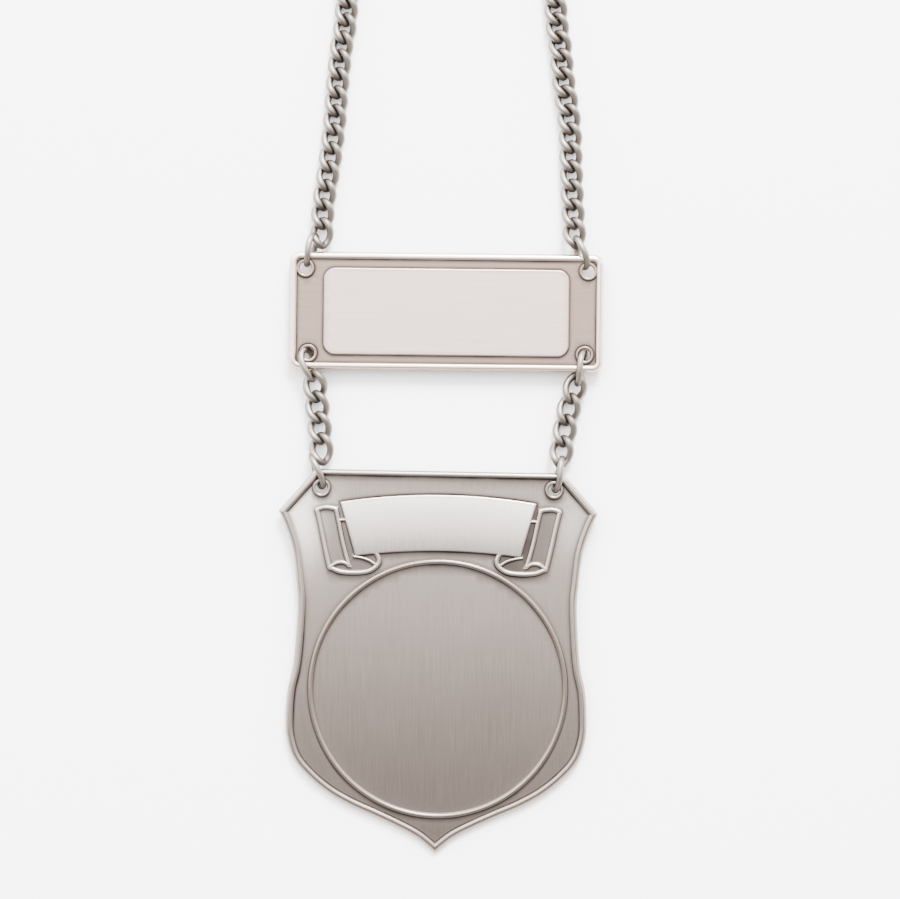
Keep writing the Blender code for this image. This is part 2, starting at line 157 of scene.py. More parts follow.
@dataclass(frozen=True)
class AntiqueSilver:
    """Silvered zinc alloy, die-cast, darkened and then brushed back.

    It looks warm grey on the open field, near white where hands and the wheel rub it and where a
    highlight is painted, and brown to black at the foot of the relief, from patina and from painted
    shade below raised shapes, with fine strokes all one way.
    """

    name: str
    brushing: Brushing
    worn_and_sheen: str = "#ece3da"
    field: str = "#7e746d"
    stain_and_shade: str = "#665a4a"
    deep_stain_and_shade: str = "#443c38"
    patina_and_shade: str = "#1f1b19"
    roughness: float = 0.2
    dirt_roughness: float = 0.25
    # How far strokes lift and sink the tone on the open field, and how much more on polished metal
    field_strokes: float = 0.055
    polish_strokes: float = 0.3
    mottle: float = 0.05
    # Real strokes are some 0.05 mm apart. They are drawn coarser so that they show
    stroke_gap: float = 0.4
    grain_gap: float = 0.35
    cloud_gap: float = 9.0

    def material(self) -> bpy.types.Material:
        """Builds the finish.

        Returns:
            A material that reads the casting's values for patina with painted shade, and for polish
            with painted highlights.
        """
        material = new_material(self.name)
        tree = material.node_tree
        place = add_node(tree, "TexCoord").outputs["Object"]
        squeezed = add_node(tree, "Mapping", {"Scale": self.brushing.value}, {"Vector": place})
        strokes, clouds, grain = (
            add_node(tree, "TexNoise", {"Scale": per_mm(gap), "Detail": detail}, {"Vector": vector})
            for gap, detail, vector in (
                (self.stroke_gap, 4.0, squeezed),
                (self.cloud_gap, 4.0, place),
                (self.grain_gap, 2.0, place),
            )
        )
        patina_and_shade, polish_and_sheen = (
            add_node(tree, "Attribute", {"attribute_name": name}).outputs["Fac"]
            for name in ("patina_and_shade", "polish_and_sheen")
        )
        bare = self.bare_metal(tree, strokes, clouds, grain, polish_and_sheen)
        # Patina and painted shade are a little uneven along a foot line
        uneven = add_node(tree, "Math", {"operation": "MULTIPLY_ADD", 1: 0.4, 2: 0.8}, {0: clouds})
        dark = add_node(tree, "Math", {"operation": "MULTIPLY"}, {0: patina_and_shade, 1: uneven})
        # The tones of patina and painted shade, from light to dark
        tones = {0.0: self.stain_and_shade, 0.5: self.deep_stain_and_shade, 1.0: self.patina_and_shade}
        darkening = add_node(tree, "ValToRGB", {}, {"Fac": dark}, tones)
        links = {"Factor": dark, "A": bare.outputs["Result"], "B": darkening}
        aged_and_shaded = add_node(tree, "Mix", {"data_type": "RGBA"}, links)
        # Strokes show most where the casting is polished and where a highlight is painted
        settings = {"operation": "MULTIPLY_ADD", 1: self.polish_strokes, 2: self.field_strokes}
        depth = add_node(tree, "Math", settings, {0: polish_and_sheen})
        centred = add_node(tree, "Math", {"operation": "SUBTRACT", 1: 0.5}, {0: strokes})
        lift = add_node(tree, "Math", {"operation": "MULTIPLY_ADD", 2: 1.0}, {0: centred, 1: depth})
        links = {"Color": aged_and_shaded.outputs["Result"], "Value": lift}
        brushed = add_node(tree, "HueSaturation", {}, links)
        # Patina and painted shade are duller than bare metal, and strokes change the gloss by a hair
        settings = {"operation": "MULTIPLY_ADD", 1: 0.01, 2: self.roughness - 0.005}
        clean = add_node(tree, "Math", settings, {0: strokes})
        settings = {"operation": "MULTIPLY_ADD", 1: self.dirt_roughness}
        rough = add_node(tree, "Math", settings, {0: dark, 2: clean})
        settings = {"Strength": 0.01, "Distance": 0.02 * MM}
        bump = add_node(tree, "Bump", settings, {"Height": strokes})
        links = {"Base Color": brushed, "Roughness": rough, "Normal": bump}
        surface = add_node(tree, "BsdfPrincipled", {"Metallic": 1.0}, links)
        add_node(tree, "OutputMaterial", {}, {"Surface": surface})
        return material

    def bare_metal(
        self,
        tree: bpy.types.NodeTree,
        strokes: bpy.types.Node,
        clouds: bpy.types.Node,
        grain: bpy.types.Node,
        polish_and_sheen: bpy.types.NodeSocket,
    ) -> bpy.types.Node:
        """Adds the metal's own colour, with painted highlights, before patina and painted shade.

        Args:
            tree: The material's nodes.
            strokes: The brushing's pattern.
            clouds: The broad change of tone over the casting.
            grain: The fine grain of the cast skin.
            polish_and_sheen: How bright each place is rubbed, with painted highlights.

        Returns:
            A mix of the field's colour and the colour of wear and painted highlights, a few levels up
            and down with the patterns.
        """
        tone = add_node(tree, "Math", {"operation": "MULTIPLY", 1: 0.5}, {0: strokes})
        for share, pattern in ((0.2, grain), (0.3, clouds)):
            settings = {"operation": "MULTIPLY_ADD", 1: share}
            tone = add_node(tree, "Math", settings, {0: pattern, 2: tone})
        mottled = add_node(tree, "ValToRGB", {}, {"Fac": tone}, {0.3: self.field, 0.7: self.worn_and_sheen})
        colours = {"data_type": "RGBA", "A": linear(self.field), "B": linear(self.worn_and_sheen)}
        plain = add_node(tree, "Mix", colours, {"Factor": polish_and_sheen})
        links = {"A": plain.outputs["Result"], "B": mottled}
        return add_node(tree, "Mix", {"data_type": "RGBA", "Factor": self.mottle}, links)


@dataclass(frozen=True)
class SatinWire:
    """Silvered steel wire, drawn, tumbled satin and darkened.

    It looks a soft warm grey along the outside of each link, and dull brown inside each link and over
    its ends, from dirt and from painted shade where links lie over each other.
    """

    name: str
    bright: str = "#746f69"
    # The colour of dirt and painted shade between links
    dull: str = "#352d29"
    roughness: float = 0.38
    dirt_roughness: float = 0.2
    grain_roughness: float = 0.14
    # The tumbled skin is finer. It is drawn at half the wire's width so that it shows
    grain_gap: float = 0.5
    cloud_gap: float = 4.0

    def material(self) -> bpy.types.Material:
        """Builds the finish.

        Returns:
            A material that reads the links' value for dirt and painted shade.
        """
        material = new_material(self.name)
        tree = material.node_tree
        place = add_node(tree, "TexCoord").outputs["Object"]
        grain, clouds = (
            add_node(tree, "TexNoise", {"Scale": per_mm(gap), "Detail": detail}, {"Vector": place})
            for gap, detail in ((self.grain_gap, 3.0), (self.cloud_gap, 2.0))
        )
        patina_and_shade = add_node(tree, "Attribute", {"attribute_name": "patina_and_shade"}).outputs["Fac"]
        uneven = add_node(tree, "Math", {"operation": "MULTIPLY_ADD", 1: 0.8, 2: 0.5}, {0: clouds})
        dark = add_node(tree, "Math", {"operation": "MULTIPLY"}, {0: patina_and_shade, 1: uneven})
        colour = add_node(tree, "ValToRGB", {}, {"Fac": dark}, {0.0: self.bright, 1.0: self.dull})
        smoothest = self.roughness - self.grain_roughness / 2
        settings = {"operation": "MULTIPLY_ADD", 1: self.grain_roughness, 2: smoothest}
        clean = add_node(tree, "Math", settings, {0: grain})
        settings = {"operation": "MULTIPLY_ADD", 1: self.dirt_roughness}
        rough = add_node(tree, "Math", settings, {0: dark, 2: clean})
        settings = {"Strength": 0.15, "Distance": 0.02 * MM}
        bump = add_node(tree, "Bump", settings, {"Height": grain})
        links = {"Base Color": colour, "Roughness": rough, "Normal": bump}
        surface = add_node(tree, "BsdfPrincipled", {"Metallic": 1.0}, links)
        add_node(tree, "OutputMaterial", {}, {"Surface": surface})
        return material


# Lines and outlines


def resampled(points: np.ndarray, step: float, closed: bool) -> np.ndarray:
    """Splits each stretch of a line into even steps.

    Args:
        points: The line's corners, one a row.
        step: The wanted distance between two points.
        closed: Whether the line goes back to its start.

    Returns:
        The corners, and the new points between them.
    """
    line = np.vstack([points, points[:1]]) if closed else points
    out = []
    for start, end in zip(line, line[1:]):
        count = max(1, int(round(np.linalg.norm(end - start) / step)))
        out += [start + (end - start) * i / count for i in range(count)]
    if not closed:
        out.append(line[-1])
    return np.array(out)


def curve_through(points: list[Point] | tuple[Point, ...], steps: int = 8) -> np.ndarray:
    """Draws a smooth open curve through points.

    Args:
        points: What the curve goes through.
        steps: How many steps it takes from one point to the next.

    Returns:
        The points of the curve.
    """
    line = np.array(points, float)
    before = np.vstack([2 * line[0] - line[1], line[:-1]])
    after = np.vstack([line[1:], 2 * line[-1] - line[-2]])
    slope = (after - before) / 2
    t = np.linspace(0, 1, steps, endpoint=False)[:, None]
    parts = []
    for i in range(len(line) - 1):
        parts.append(
            (2 * t**3 - 3 * t**2 + 1) * line[i]
            + (t**3 - 2 * t**2 + t) * slope[i]
            + (3 * t**2 - 2 * t**3) * line[i + 1]
            + (t**3 - t**2) * slope[i + 1]
        )
    return np.vstack(parts + [line[-1:]])


def mirrored(half: np.ndarray) -> np.ndarray:
    """A closed outline from its right half, which runs from the top middle to the bottom middle."""
    inner = half[half[:, 0] > TINY]
    return np.vstack([half, inner[::-1] * (-1, 1)])


def rounded_rectangle(width: float, height: float, radius: float, steps: int = 10) -> np.ndarray:
    """Draws a rectangle with arcs for corners.

    Args:
        width: Its size along X.
        height: Its size along Y.
        radius: The arcs' radius.
        steps: How many steps each arc takes.

    Returns:
        Points round it, anticlockwise.
    """
    points = []
    for quarter, (x, y) in enumerate(((1, 1), (-1, 1), (-1, -1), (1, -1))):
        middle = (x * (width / 2 - radius), y * (height / 2 - radius))
        for step in range(steps + 1):
            angle = math.pi / 2 * (quarter + step / steps)
            points.append((middle[0] + radius * math.cos(angle), middle[1] + radius * math.sin(angle)))
    return np.array(points)


def circle(radius: float, sides: int, centre: Point = (0.0, 0.0)) -> np.ndarray:
    """Points round a circle, anticlockwise."""
    angle = np.arange(sides) * math.tau / sides
    return np.stack([np.cos(angle), np.sin(angle)], 1) * radius + centre


def offset(points: np.ndarray, distance: float | np.ndarray, closed: bool) -> np.ndarray:
    """Moves a line sideways.

    Args:
        points: The line.
        distance: How far it goes to its left, the same all along or one value a point.
        closed: Whether the line goes back to its start.

    Returns:
        The moved line.
    """
    if closed:
        into = points - np.roll(points, 1, 0)
        out = np.roll(into, -1, 0)
    else:
        step = np.diff(points, axis=0)
        into = np.vstack([step[:1], step])
        out = np.vstack([step, step[-1:]])
    into /= np.linalg.norm(into, axis=1)[:, None]
    out /= np.linalg.norm(out, axis=1)[:, None]
    along = into + out
    along /= np.linalg.norm(along, axis=1)[:, None]
    # A sharp corner would throw its point far out
    reach = distance / np.maximum((along * into).sum(1), 0.5)
    return points + np.stack([-along[:, 1], along[:, 0]], 1) * reach[:, None]


def way_to(points: np.ndarray, line: np.ndarray, closed: bool) -> np.ndarray:
    """Finds the shortest way from each point to a line.

    Args:
        points: The points, one a row.
        line: The line's points.
        closed: Whether the line goes back to its start.

    Returns:
        The steps along X and Y, one row a point.
    """
    ends = np.roll(line, -1, 0) if closed else line[1:]
    starts = line if closed else line[:-1]
    best = np.full(len(points), np.inf)
    way = np.zeros((len(points), 2))
    for start, end in zip(starts, ends):
        step = end - start
        share = np.clip((points - start) @ step / max(step @ step, TINY**2), 0, 1)
        here = start + share[:, None] * step - points
        length = (here**2).sum(1)
        nearer = length < best
        best = np.where(nearer, length, best)
        way[nearer] = here[nearer]
    return way


def inside(points: np.ndarray, outline: np.ndarray) -> np.ndarray:
    """Finds which points lie inside a closed outline.

    Args:
        points: The points, one a row.
        outline: The outline's points.

    Returns:
        True or false for each point.
    """
    within = np.zeros(len(points), bool)
    x, y = points[:, 0], points[:, 1]
    for (x0, y0), (x1, y1) in zip(outline, np.roll(outline, -1, 0)):
        if y0 == y1:
            continue
        crosses = (y0 > y) != (y1 > y)
        within ^= crosses & (x < (x1 - x0) * (y - y0) / (y1 - y0) + x0)
    return within


# Relief

# How far beyond a foot line the field's own guide lines lie
FIELD_STEPS = (0.12, 0.3, 0.6, 1.1)
# A point this far inside a foot line stands on the raised shape
RAISED = 0.06
# A foot line this far inside another shape is covered by it
COVERED = 0.1
# Distances to a foot line or a hole are counted up to here
FAR = 9.0


class Relief(ABC):
    """A raised shape on a casting, with how brightly it is rubbed and how dark its foot is from patina
    and painted shade.
    """

    polish_and_sheen: float
    darkening: float

    @abstractmethod
    def depth_inside(self, points: np.ndarray) -> tuple[np.ndarray, np.ndarray]:
        """How far inside its foot line each point is, and the way to its nearest leading line."""

    @abstractmethod
    def faces_down(self, way: np.ndarray) -> np.ndarray:
        """How far its flank looks towards minus Y, times the length of these ways."""

    @abstractmethod
    def rise(self, depth: np.ndarray, points: np.ndarray) -> np.ndarray:
        """Its height above the field at these points, at these depths inside its foot line."""

    @abstractmethod
    def guides(self) -> list[Guide]:
        """The lines along which its surface bends."""

    def polish_and_sheen_at(self, points: np.ndarray) -> np.ndarray:
        """How bright it is rubbed at each point, from nought to one."""
        return np.full(len(points), self.polish_and_sheen)


@dataclass
class Plateau(Relief):
    """A flat raised shape with rounded shoulders. Its outline runs anticlockwise.

    Its crown and a painted highlight along its top follow an arch: the height of the arch's middle line
    at X nought, how far that line drops for each square millimetre of X, and half the arch's height.
    """

    outline: np.ndarray
    height: float
    shoulder: float = 0.35
    polish_and_sheen: float = 0.0
    top_sheen: float = 0.0
    crown: float = 0.0
    arch: tuple[float, float, float] = (0.0, 0.0, 1.0)
    darkening: float = 0.85

    def depth_inside(self, points: np.ndarray) -> tuple[np.ndarray, np.ndarray]:
        """Measures points against its outline.

        Args:
            points: The points, one a row.

        Returns:
            How far inside its outline each one is, and the way to the outline.
        """
        way = way_to(points, self.outline, True)
        away = np.linalg.norm(way, axis=1)
        return np.where(inside(points, self.outline), away, -away), way

    def faces_down(self, way: np.ndarray) -> np.ndarray:
        """How far its flank looks towards minus Y, where this is the way to its outline."""
        return -way[:, 1]

    def up_arch(self, points: np.ndarray) -> np.ndarray:
        """How far up its arch each point is: minus one at the bottom, one at the top."""
        middle, drop, half = self.arch
        return np.clip((points[:, 1] - middle + drop * points[:, 0] ** 2) / half, -1, 1)

    def polish_and_sheen_at(self, points: np.ndarray) -> np.ndarray:
        """How bright it is rubbed at each point, with a painted highlight towards the top of its arch,
        from nought to one.
        """
        return self.polish_and_sheen + self.top_sheen * (0.5 + 0.5 * self.up_arch(points)) ** 3

    def rise(self, depth: np.ndarray, points: np.ndarray) -> np.ndarray:
        """Works out its height, with its crown over the middle of its arch.

        Args:
            depth: How far inside its outline each point is.
            points: The points, one a row.

        Returns:
            The height above the field at each point.
        """
        share = np.clip(depth / self.shoulder, 0, 1)
        crown = np.where(depth > 0, self.crown * (1 - self.up_arch(points) ** 2), 0.0)
        return (self.height + crown) * np.sqrt(1 - (1 - share) ** 2)

    def guides(self) -> list[Guide]:
        """Draws the lines along which its surface bends.

        Returns:
            Lines on the field round it, over its shoulder and, on a crown, over its top.
        """
        steps = [-beyond for beyond in reversed(FIELD_STEPS)]
        steps += [self.shoulder * share for share in (0.0, 0.06, 0.25, 0.55, 1.0, 1.25)]
        if self.crown:
            steps += [1.0, 1.7, 2.5, 3.4, 4.4, 5.5, 6.7]
        return [(offset(self.outline, step, True), True) for step in steps]


@dataclass
class Ridge(Relief):
    """A half-round raised line that may thin out towards its end."""

    line: np.ndarray
    width: float
    height: float
    closed: bool = False
    polish_and_sheen: float = 0.6
    end_width: float | None = None
    darkening: float = 0.85

    def depth_inside(self, points: np.ndarray) -> tuple[np.ndarray, np.ndarray]:
        """Measures points against its middle line.

        Args:
            points: The points, one a row.

        Returns:
            How far inside its foot lines each one is, and the way to its middle line.
        """
        way = way_to(points, self.line, self.closed)
        away = np.linalg.norm(way, axis=1)
        if self.end_width is None:
            return self.width / 2 - away, way
        along = (points + way - self.line[0]) @ (self.line[-1] - self.line[0])
        share = np.clip(along / ((self.line[-1] - self.line[0]) ** 2).sum(), 0, 1)
        return (self.width + (self.end_width - self.width) * share) / 2 - away, way

    def faces_down(self, way: np.ndarray) -> np.ndarray:
        """How far its flank looks towards minus Y, where this is the way to its middle line."""
        return way[:, 1]

    def rise(self, depth: np.ndarray, points: np.ndarray) -> np.ndarray:
        """Its height above the field: a half round, a little full at the shoulders."""
        across = np.clip(1 - depth / (self.width / 2), 0, 1)
        return self.height * np.sqrt(1 - across**2) ** 0.9

    def guides(self) -> list[Guide]:
        """Draws the lines along which its surface bends.

        Returns:
            Its middle line, and lines over its flanks and on the field on both sides.
        """
        lines = [(self.line, self.closed)]
        steps = [share * self.width / 2 for share in (0.35, 0.65, 0.88, 0.99)]
        steps += [self.width / 2 + beyond for beyond in FIELD_STEPS]
        for step in steps:
            for side in (-1, 1):
                lines.append((offset(self.line, side * step, self.closed), self.closed))
        return lines


@dataclass
class Rim(Relief):
    """The raised edge of a casting, rounded over to the outside.

    The inner flank and the outer fall are shares of its width: where the flank is at full height,
    and where the fall starts. The fall ends at the edge's height above the casting's back.
    """

    outline: np.ndarray
    width: float
    height: float
    field: float
    edge: float
    polish_and_sheen: float = 0.8
    top_width: float | None = None
    darkening: float = 0.85
    flank: float = 0.38
    fall: float = 0.48
    # An edge that faces this far towards plus Y starts to be a top edge, and a fade on it is one
    top_from: float = 0.9
    top_fade: float = 0.1

    def widths(self, facing: np.ndarray) -> np.ndarray:
        """Works out its width.

        Args:
            facing: How far its outside faces towards plus Y at each point.

        Returns:
            The width at each point.
        """
        top = self.width if self.top_width is None else self.top_width
        share = np.clip((facing - self.top_from) / self.top_fade, 0, 1)
        return self.width + (top - self.width) * share

    def depth_inside(self, points: np.ndarray) -> tuple[np.ndarray, np.ndarray]:
        """Measures points against the casting's edge.

        Args:
            points: The points, one a row.

        Returns:
            How far inside its foot line each one is, and the way to the casting's edge.
        """
        way = way_to(points, self.outline, True)
        away = np.linalg.norm(way, axis=1)
        widths = self.widths(way[:, 1] / np.maximum(away, TINY))
        depth = widths - away
        return np.where(depth > 0, depth * self.width / widths, depth), way

    def faces_down(self, way: np.ndarray) -> np.ndarray:
        """How far its inner flank looks towards minus Y, where this is the way to the edge."""
        return way[:, 1]

    def rise(self, depth: np.ndarray, points: np.ndarray) -> np.ndarray:
        """Works out its height, which falls below the field at the casting's edge.

        Args:
            depth: How far inside its foot line each point is.
            points: The points, one a row.

        Returns:
            The height above the field at each point.
        """
        across = np.clip(depth / self.width, 0, 1)
        inner = np.sqrt(1 - (1 - np.clip(across / self.flank, 0, 1)) ** 2)
        fall = np.clip((across - self.fall) / (1 - self.fall), 0, 1)
        outer = 1 - np.sqrt(np.maximum(1 - fall**2, 0))
        return self.height * inner - (self.height + self.field - self.edge) * outer

    def guides(self) -> list[Guide]:
        """Draws the lines along which its surface bends.

        Returns:
            Lines from the casting's edge over its crest and inner flank and out on the field.
        """
        inward = offset(self.outline, 0.01, True) - self.outline
        widths = self.widths(-inward[:, 1] / np.linalg.norm(inward, axis=1))
        shares = (0.0, 0.03, 0.08, 0.15, 0.24, 0.34, 0.45, 0.6, 0.7, 0.82, 0.92, 0.975, 1.0)
        steps = [widths * share for share in shares]
        steps += [widths + beyond for beyond in FIELD_STEPS]
        return [(offset(self.outline, step, True), True) for step in steps]


@dataclass(frozen=True)
class DirtAndShade:
    """How patina and painted shade lie round raised shapes: amounts up to one, and reaches in
    millimetres.

    Patina lies along each foot. Light falls from plus Y, so the extra darkness below each shape and on
    flanks that look towards minus Y is painted shade. Uphill is how straight the way to a shape's
    leading line goes towards plus Y, and low is how far a flank looks towards minus Y.
    """

    line_reach: float = 0.58
    flank_reach: float = 0.62
    # The line's share at a foot that doesn't lie below its shape; below a shape, painted shade makes up
    # the rest
    side: float = 0.68
    # How dark the painted shadow below a shape is at its foot, and how far it reaches
    shadow_darkness: float = 0.95
    shadow_length: float = 1.0
    haze: float = 0.2
    haze_reach: float = 1.2
    back: float = 0.25

    def flank(self, depth: np.ndarray, low: np.ndarray) -> np.ndarray:
        """Patina on a shape's lower flank, and painted shade where the flank looks towards minus Y."""
        inwards = np.maximum(depth, 0)
        return np.where(depth > 0, low * np.exp(-((inwards / self.flank_reach) ** 1.5)), 0)

    def line(self, depth: np.ndarray, low: np.ndarray, uphill: np.ndarray) -> np.ndarray:
        """Works out the line of patina along a foot, deepened by painted shade where the foot lies
        below its shape.

        Args:
            depth: How far inside the foot line each point is.
            low: How far the flank looks towards minus Y, from nought to one.
            uphill: How straight the way to the shape's leading line goes towards plus Y.

        Returns:
            The darkening at each point, most where the foot lies below the raised shape, as painted
            shade.
        """
        near = np.exp(-((np.abs(depth) / self.line_reach) ** 1.8))
        below = np.maximum(low, np.where(depth < 0, np.clip(uphill, 0, 1), 0))
        return near * (self.side + (1 - self.side) * below)

    def painted_shadow(self, depth: np.ndarray, uphill: np.ndarray) -> np.ndarray:
        """Works out the painted shadow on the field below a shape, where the shape keeps off the light
        from plus Y.

        Args:
            depth: How far inside the foot line each point is.
            uphill: How straight the way to the shape's leading line goes towards plus Y.

        Returns:
            The painted shadow at each point, which thins out away from the shape.
        """
        slant = np.clip(uphill, 0.05, 1) ** 1.5
        reach = np.maximum(-depth, 0) / slant / self.shadow_length
        return np.where(depth < 0, self.shadow_darkness * np.clip(1 - reach, 0, 1) ** 0.6, 0)


@dataclass(frozen=True)
class Patch:
    """A soft oval patch on a casting, with its reach along X and Y and its strength up to one."""

    centre: Point
    reach: Point
    amount: float

    def strength(self, points: np.ndarray) -> np.ndarray:
        """How strong it is at each point."""
        away = (((points - np.array(self.centre)) / np.array(self.reach)) ** 2).sum(1)
        return self.amount * np.exp(-away)


@dataclass
class Casting:
    """A relief cast in one piece with a flat back.

    The field is its height above the back. Stains are outlines with their amount of dirt. Painted-tone
    patches are painted highlights on the open field, and wiped ones have less patina and painted shade.
    """

    name: str
    outline: np.ndarray
    field: float
    relief: list[Relief]
    eyelets: tuple[Point, ...]
    place: Matrix
    finish: AntiqueSilver
    dirt_and_shade: DirtAndShade = DirtAndShade()
    hole_radius: float = 1.65
    boss_radius: float = 2.65
    boss_height: float = 0.45
    boss_shoulder: float = 0.36
    boss_polish: float = 0.1
    countersink: float = 0.25
    countersink_width: float = 0.3
    # How many sides a hole, a boss and the guide lines round a boss have
    hole_sides: int = 36
    boss_sides: int = 48
    guide_sides: int = 40
    grid: float = 2.2
    grid_clearance: float = 0.5
    # Guide points nearer to each other than this become one
    weld: float = 0.012
    sharp_from: float = 35.0
    stains: list[tuple[np.ndarray, float]] = field(default_factory=list)
    painted_tone: tuple[Patch, ...] = ()
    wiped: tuple[Patch, ...] = ()

    def shapes(self) -> list[Relief]:
        """Lists everything raised on the field.

        Returns:
            The relief, and the boss round each eyelet.
        """
        sizes = (self.boss_height, self.boss_shoulder, self.boss_polish)
        rounds = [circle(self.boss_radius, self.boss_sides, place) for place in self.eyelets]
        return self.relief + [Plateau(outline, *sizes) for outline in rounds]

    def surface(self, points: np.ndarray) -> dict[str, np.ndarray]:
        """Works out the front.

        Args:
            points: Places on the casting, one a row.

        Returns:
            The rise above the field, the patina with painted shade and the polish with painted
            highlights at each point, by name.
        """
        shapes = self.shapes()
        depths, ways = zip(*(shape.depth_inside(points) for shape in shapes))
        rise = np.zeros(len(points))
        polish_and_sheen = np.zeros(len(points))
        for shape, depth in zip(shapes, depths):
            here = shape.rise(depth, points)
            higher = here > rise + TINY
            edge = isinstance(shape, Rim) & (here < 0) & (rise <= 0)
            rise = np.where(higher | edge, here, rise)
            polish_and_sheen = np.where((depth > 0) & higher, shape.polish_and_sheen_at(points), polish_and_sheen)
        raised = np.max(depths, axis=0) > RAISED
        # Painted highlight patches brighten the open field
        for patch in self.painted_tone:
            polish_and_sheen = np.where(raised, polish_and_sheen, np.maximum(polish_and_sheen, patch.strength(points)))
        patina_and_shade = self.patina_and_shade(points, shapes, depths, ways)
        hole = np.full(len(points), FAR)
        for place in self.eyelets:
            hole = np.minimum(hole, np.linalg.norm(points - place, axis=1) - self.hole_radius)
        rise = rise - self.countersink * np.clip(1 - hole / self.countersink_width, 0, 1) ** 2
        return {"rise": rise, "patina_and_shade": patina_and_shade, "polish_and_sheen": polish_and_sheen}

    def patina_and_shade(
        self,
        points: np.ndarray,
        shapes: list[Relief],
        depths: tuple[np.ndarray, ...],
        ways: tuple[np.ndarray, ...],
    ) -> np.ndarray:
        """Works out the patina and painted shade on the front.

        Args:
            points: Places on the casting, one a row.
            shapes: Everything raised on the field.
            depths: How far inside each shape's foot line the points are.
            ways: The way from the points to each shape's leading line.

        Returns:
            The patina and painted shade at each point, from nought to one.
        """
        patina_and_shade = np.zeros(len(points))
        shadow_darkness = np.zeros(len(points))
        foot = np.full(len(points), FAR)
        for index, (shape, depth, way) in enumerate(zip(shapes, depths, ways)):
            length = np.maximum(np.linalg.norm(way, axis=1), TINY)
            uphill = way[:, 1] / length
            # A flank that looks sideways keeps some patina, and one that looks towards minus Y gets
            # painted shade too
            low = np.clip(0.3 + 0.7 * shape.faces_down(way) / length, 0, 1)
            # Where another shape covers this one's foot, no patina and no painted shade lie
            clear = np.max([d for i, d in enumerate(depths) if i != index], axis=0) < COVERED
            foot = np.where(clear, np.minimum(foot, np.abs(depth)), foot)
            # Patina along the foot, with painted shade below the shape and on its flank that looks
            # towards minus Y
            near = np.maximum(self.dirt_and_shade.flank(depth, low), self.dirt_and_shade.line(depth, low, uphill))
            patina_and_shade = np.maximum(patina_and_shade, np.where(clear, near * shape.darkening, 0))
            # Painted shadow on the field below the shape
            shadow_darkness = np.maximum(shadow_darkness, self.dirt_and_shade.painted_shadow(depth, uphill))
        raised = np.max(depths, axis=0) > RAISED
        # On the open field: a little darker near each foot, and the painted shadow below shapes
        haze = self.dirt_and_shade.haze * np.exp(-foot / self.dirt_and_shade.haze_reach)
        patina_and_shade = np.where(raised, patina_and_shade, np.maximum(patina_and_shade + haze, shadow_darkness))
        for outline, amount in self.stains:
            patina_and_shade = np.where(inside(points, outline) & ~raised, np.maximum(patina_and_shade, amount), patina_and_shade)
        for patch in self.wiped:
            patina_and_shade = patina_and_shade * (1 - patch.strength(points))
        return np.clip(patina_and_shade, 0, 1)

    def guides(self) -> list[Guide]:
        """Draws all the lines that the front's triangles follow.

        Returns:
            The guides of every shape, and rings round each hole and boss.
        """
        lines = []
        for shape in self.relief:
            lines += shape.guides()
        for place in self.eyelets:
            radii = [self.hole_radius + step for step in (0.0, 0.1, 0.3)]
            lines += [(circle(radius, self.hole_sides, place), True) for radius in radii]
            steps = (0.5, 0.36, 0.2, 0.07, 0.0, -0.12, -0.3, -0.6)
            radii = [self.boss_radius - step for step in steps]
            lines += [(circle(radius, self.guide_sides, place), True) for radius in radii]
        return lines

    def front(self) -> tuple[np.ndarray, list[list[int]]]:
        """Covers the front with triangles that follow the relief, which no mesh operator lays.

        Returns:
            The points seen from above, and the triangles between them.
        """
        guides = self.guides()
        points: list[Vector] = []
        edges: list[tuple[int, int]] = []
        for line, closed in guides:
            start = len(points)
            points += [Vector(p) for p in line]
            edges += [(start + i, start + i + 1) for i in range(len(line) - 1)]
            if closed:
                edges.append((start + len(line) - 1, start))
        points += [Vector(p) for p in self.loose_points(guides)]
        made, _, faces, *_ = delaunay_2d_cdt(points, edges, [], 0, self.weld)
        made = np.array(made)
        middles = np.array([made[list(face)].mean(0) for face in faces])
        keep = inside(middles, self.outline)
        for place in self.eyelets:
            hole = self.hole_radius * math.cos(math.pi / self.hole_sides)
            keep &= np.linalg.norm(middles - place, axis=1) > hole
        return made, [face for face, kept in zip(faces, keep) if kept]

    def loose_points(self, guides: list[Guide]) -> np.ndarray:
        """Spreads points over the open field, in rows half a step out of line with each other.

        Args:
            guides: The lines that the points keep clear of. Every third one is enough.

        Returns:
            The points, one a row.
        """
        low, high = self.outline.min(0), self.outline.max(0)
        xs = np.arange(low[0] + self.grid / 2, high[0], self.grid)
        ys = np.arange(low[1] + self.grid / 2, high[1], self.grid)
        loose = np.array([(x + (self.grid / 2) * (i % 2), y) for i, y in enumerate(ys) for x in xs])
        away = np.full(len(loose), np.inf)
        for line, closed in guides[::3]:
            away = np.minimum(away, np.linalg.norm(way_to(loose, line, closed), axis=1))
        return loose[(away > self.grid_clearance) & inside(loose, self.outline)]

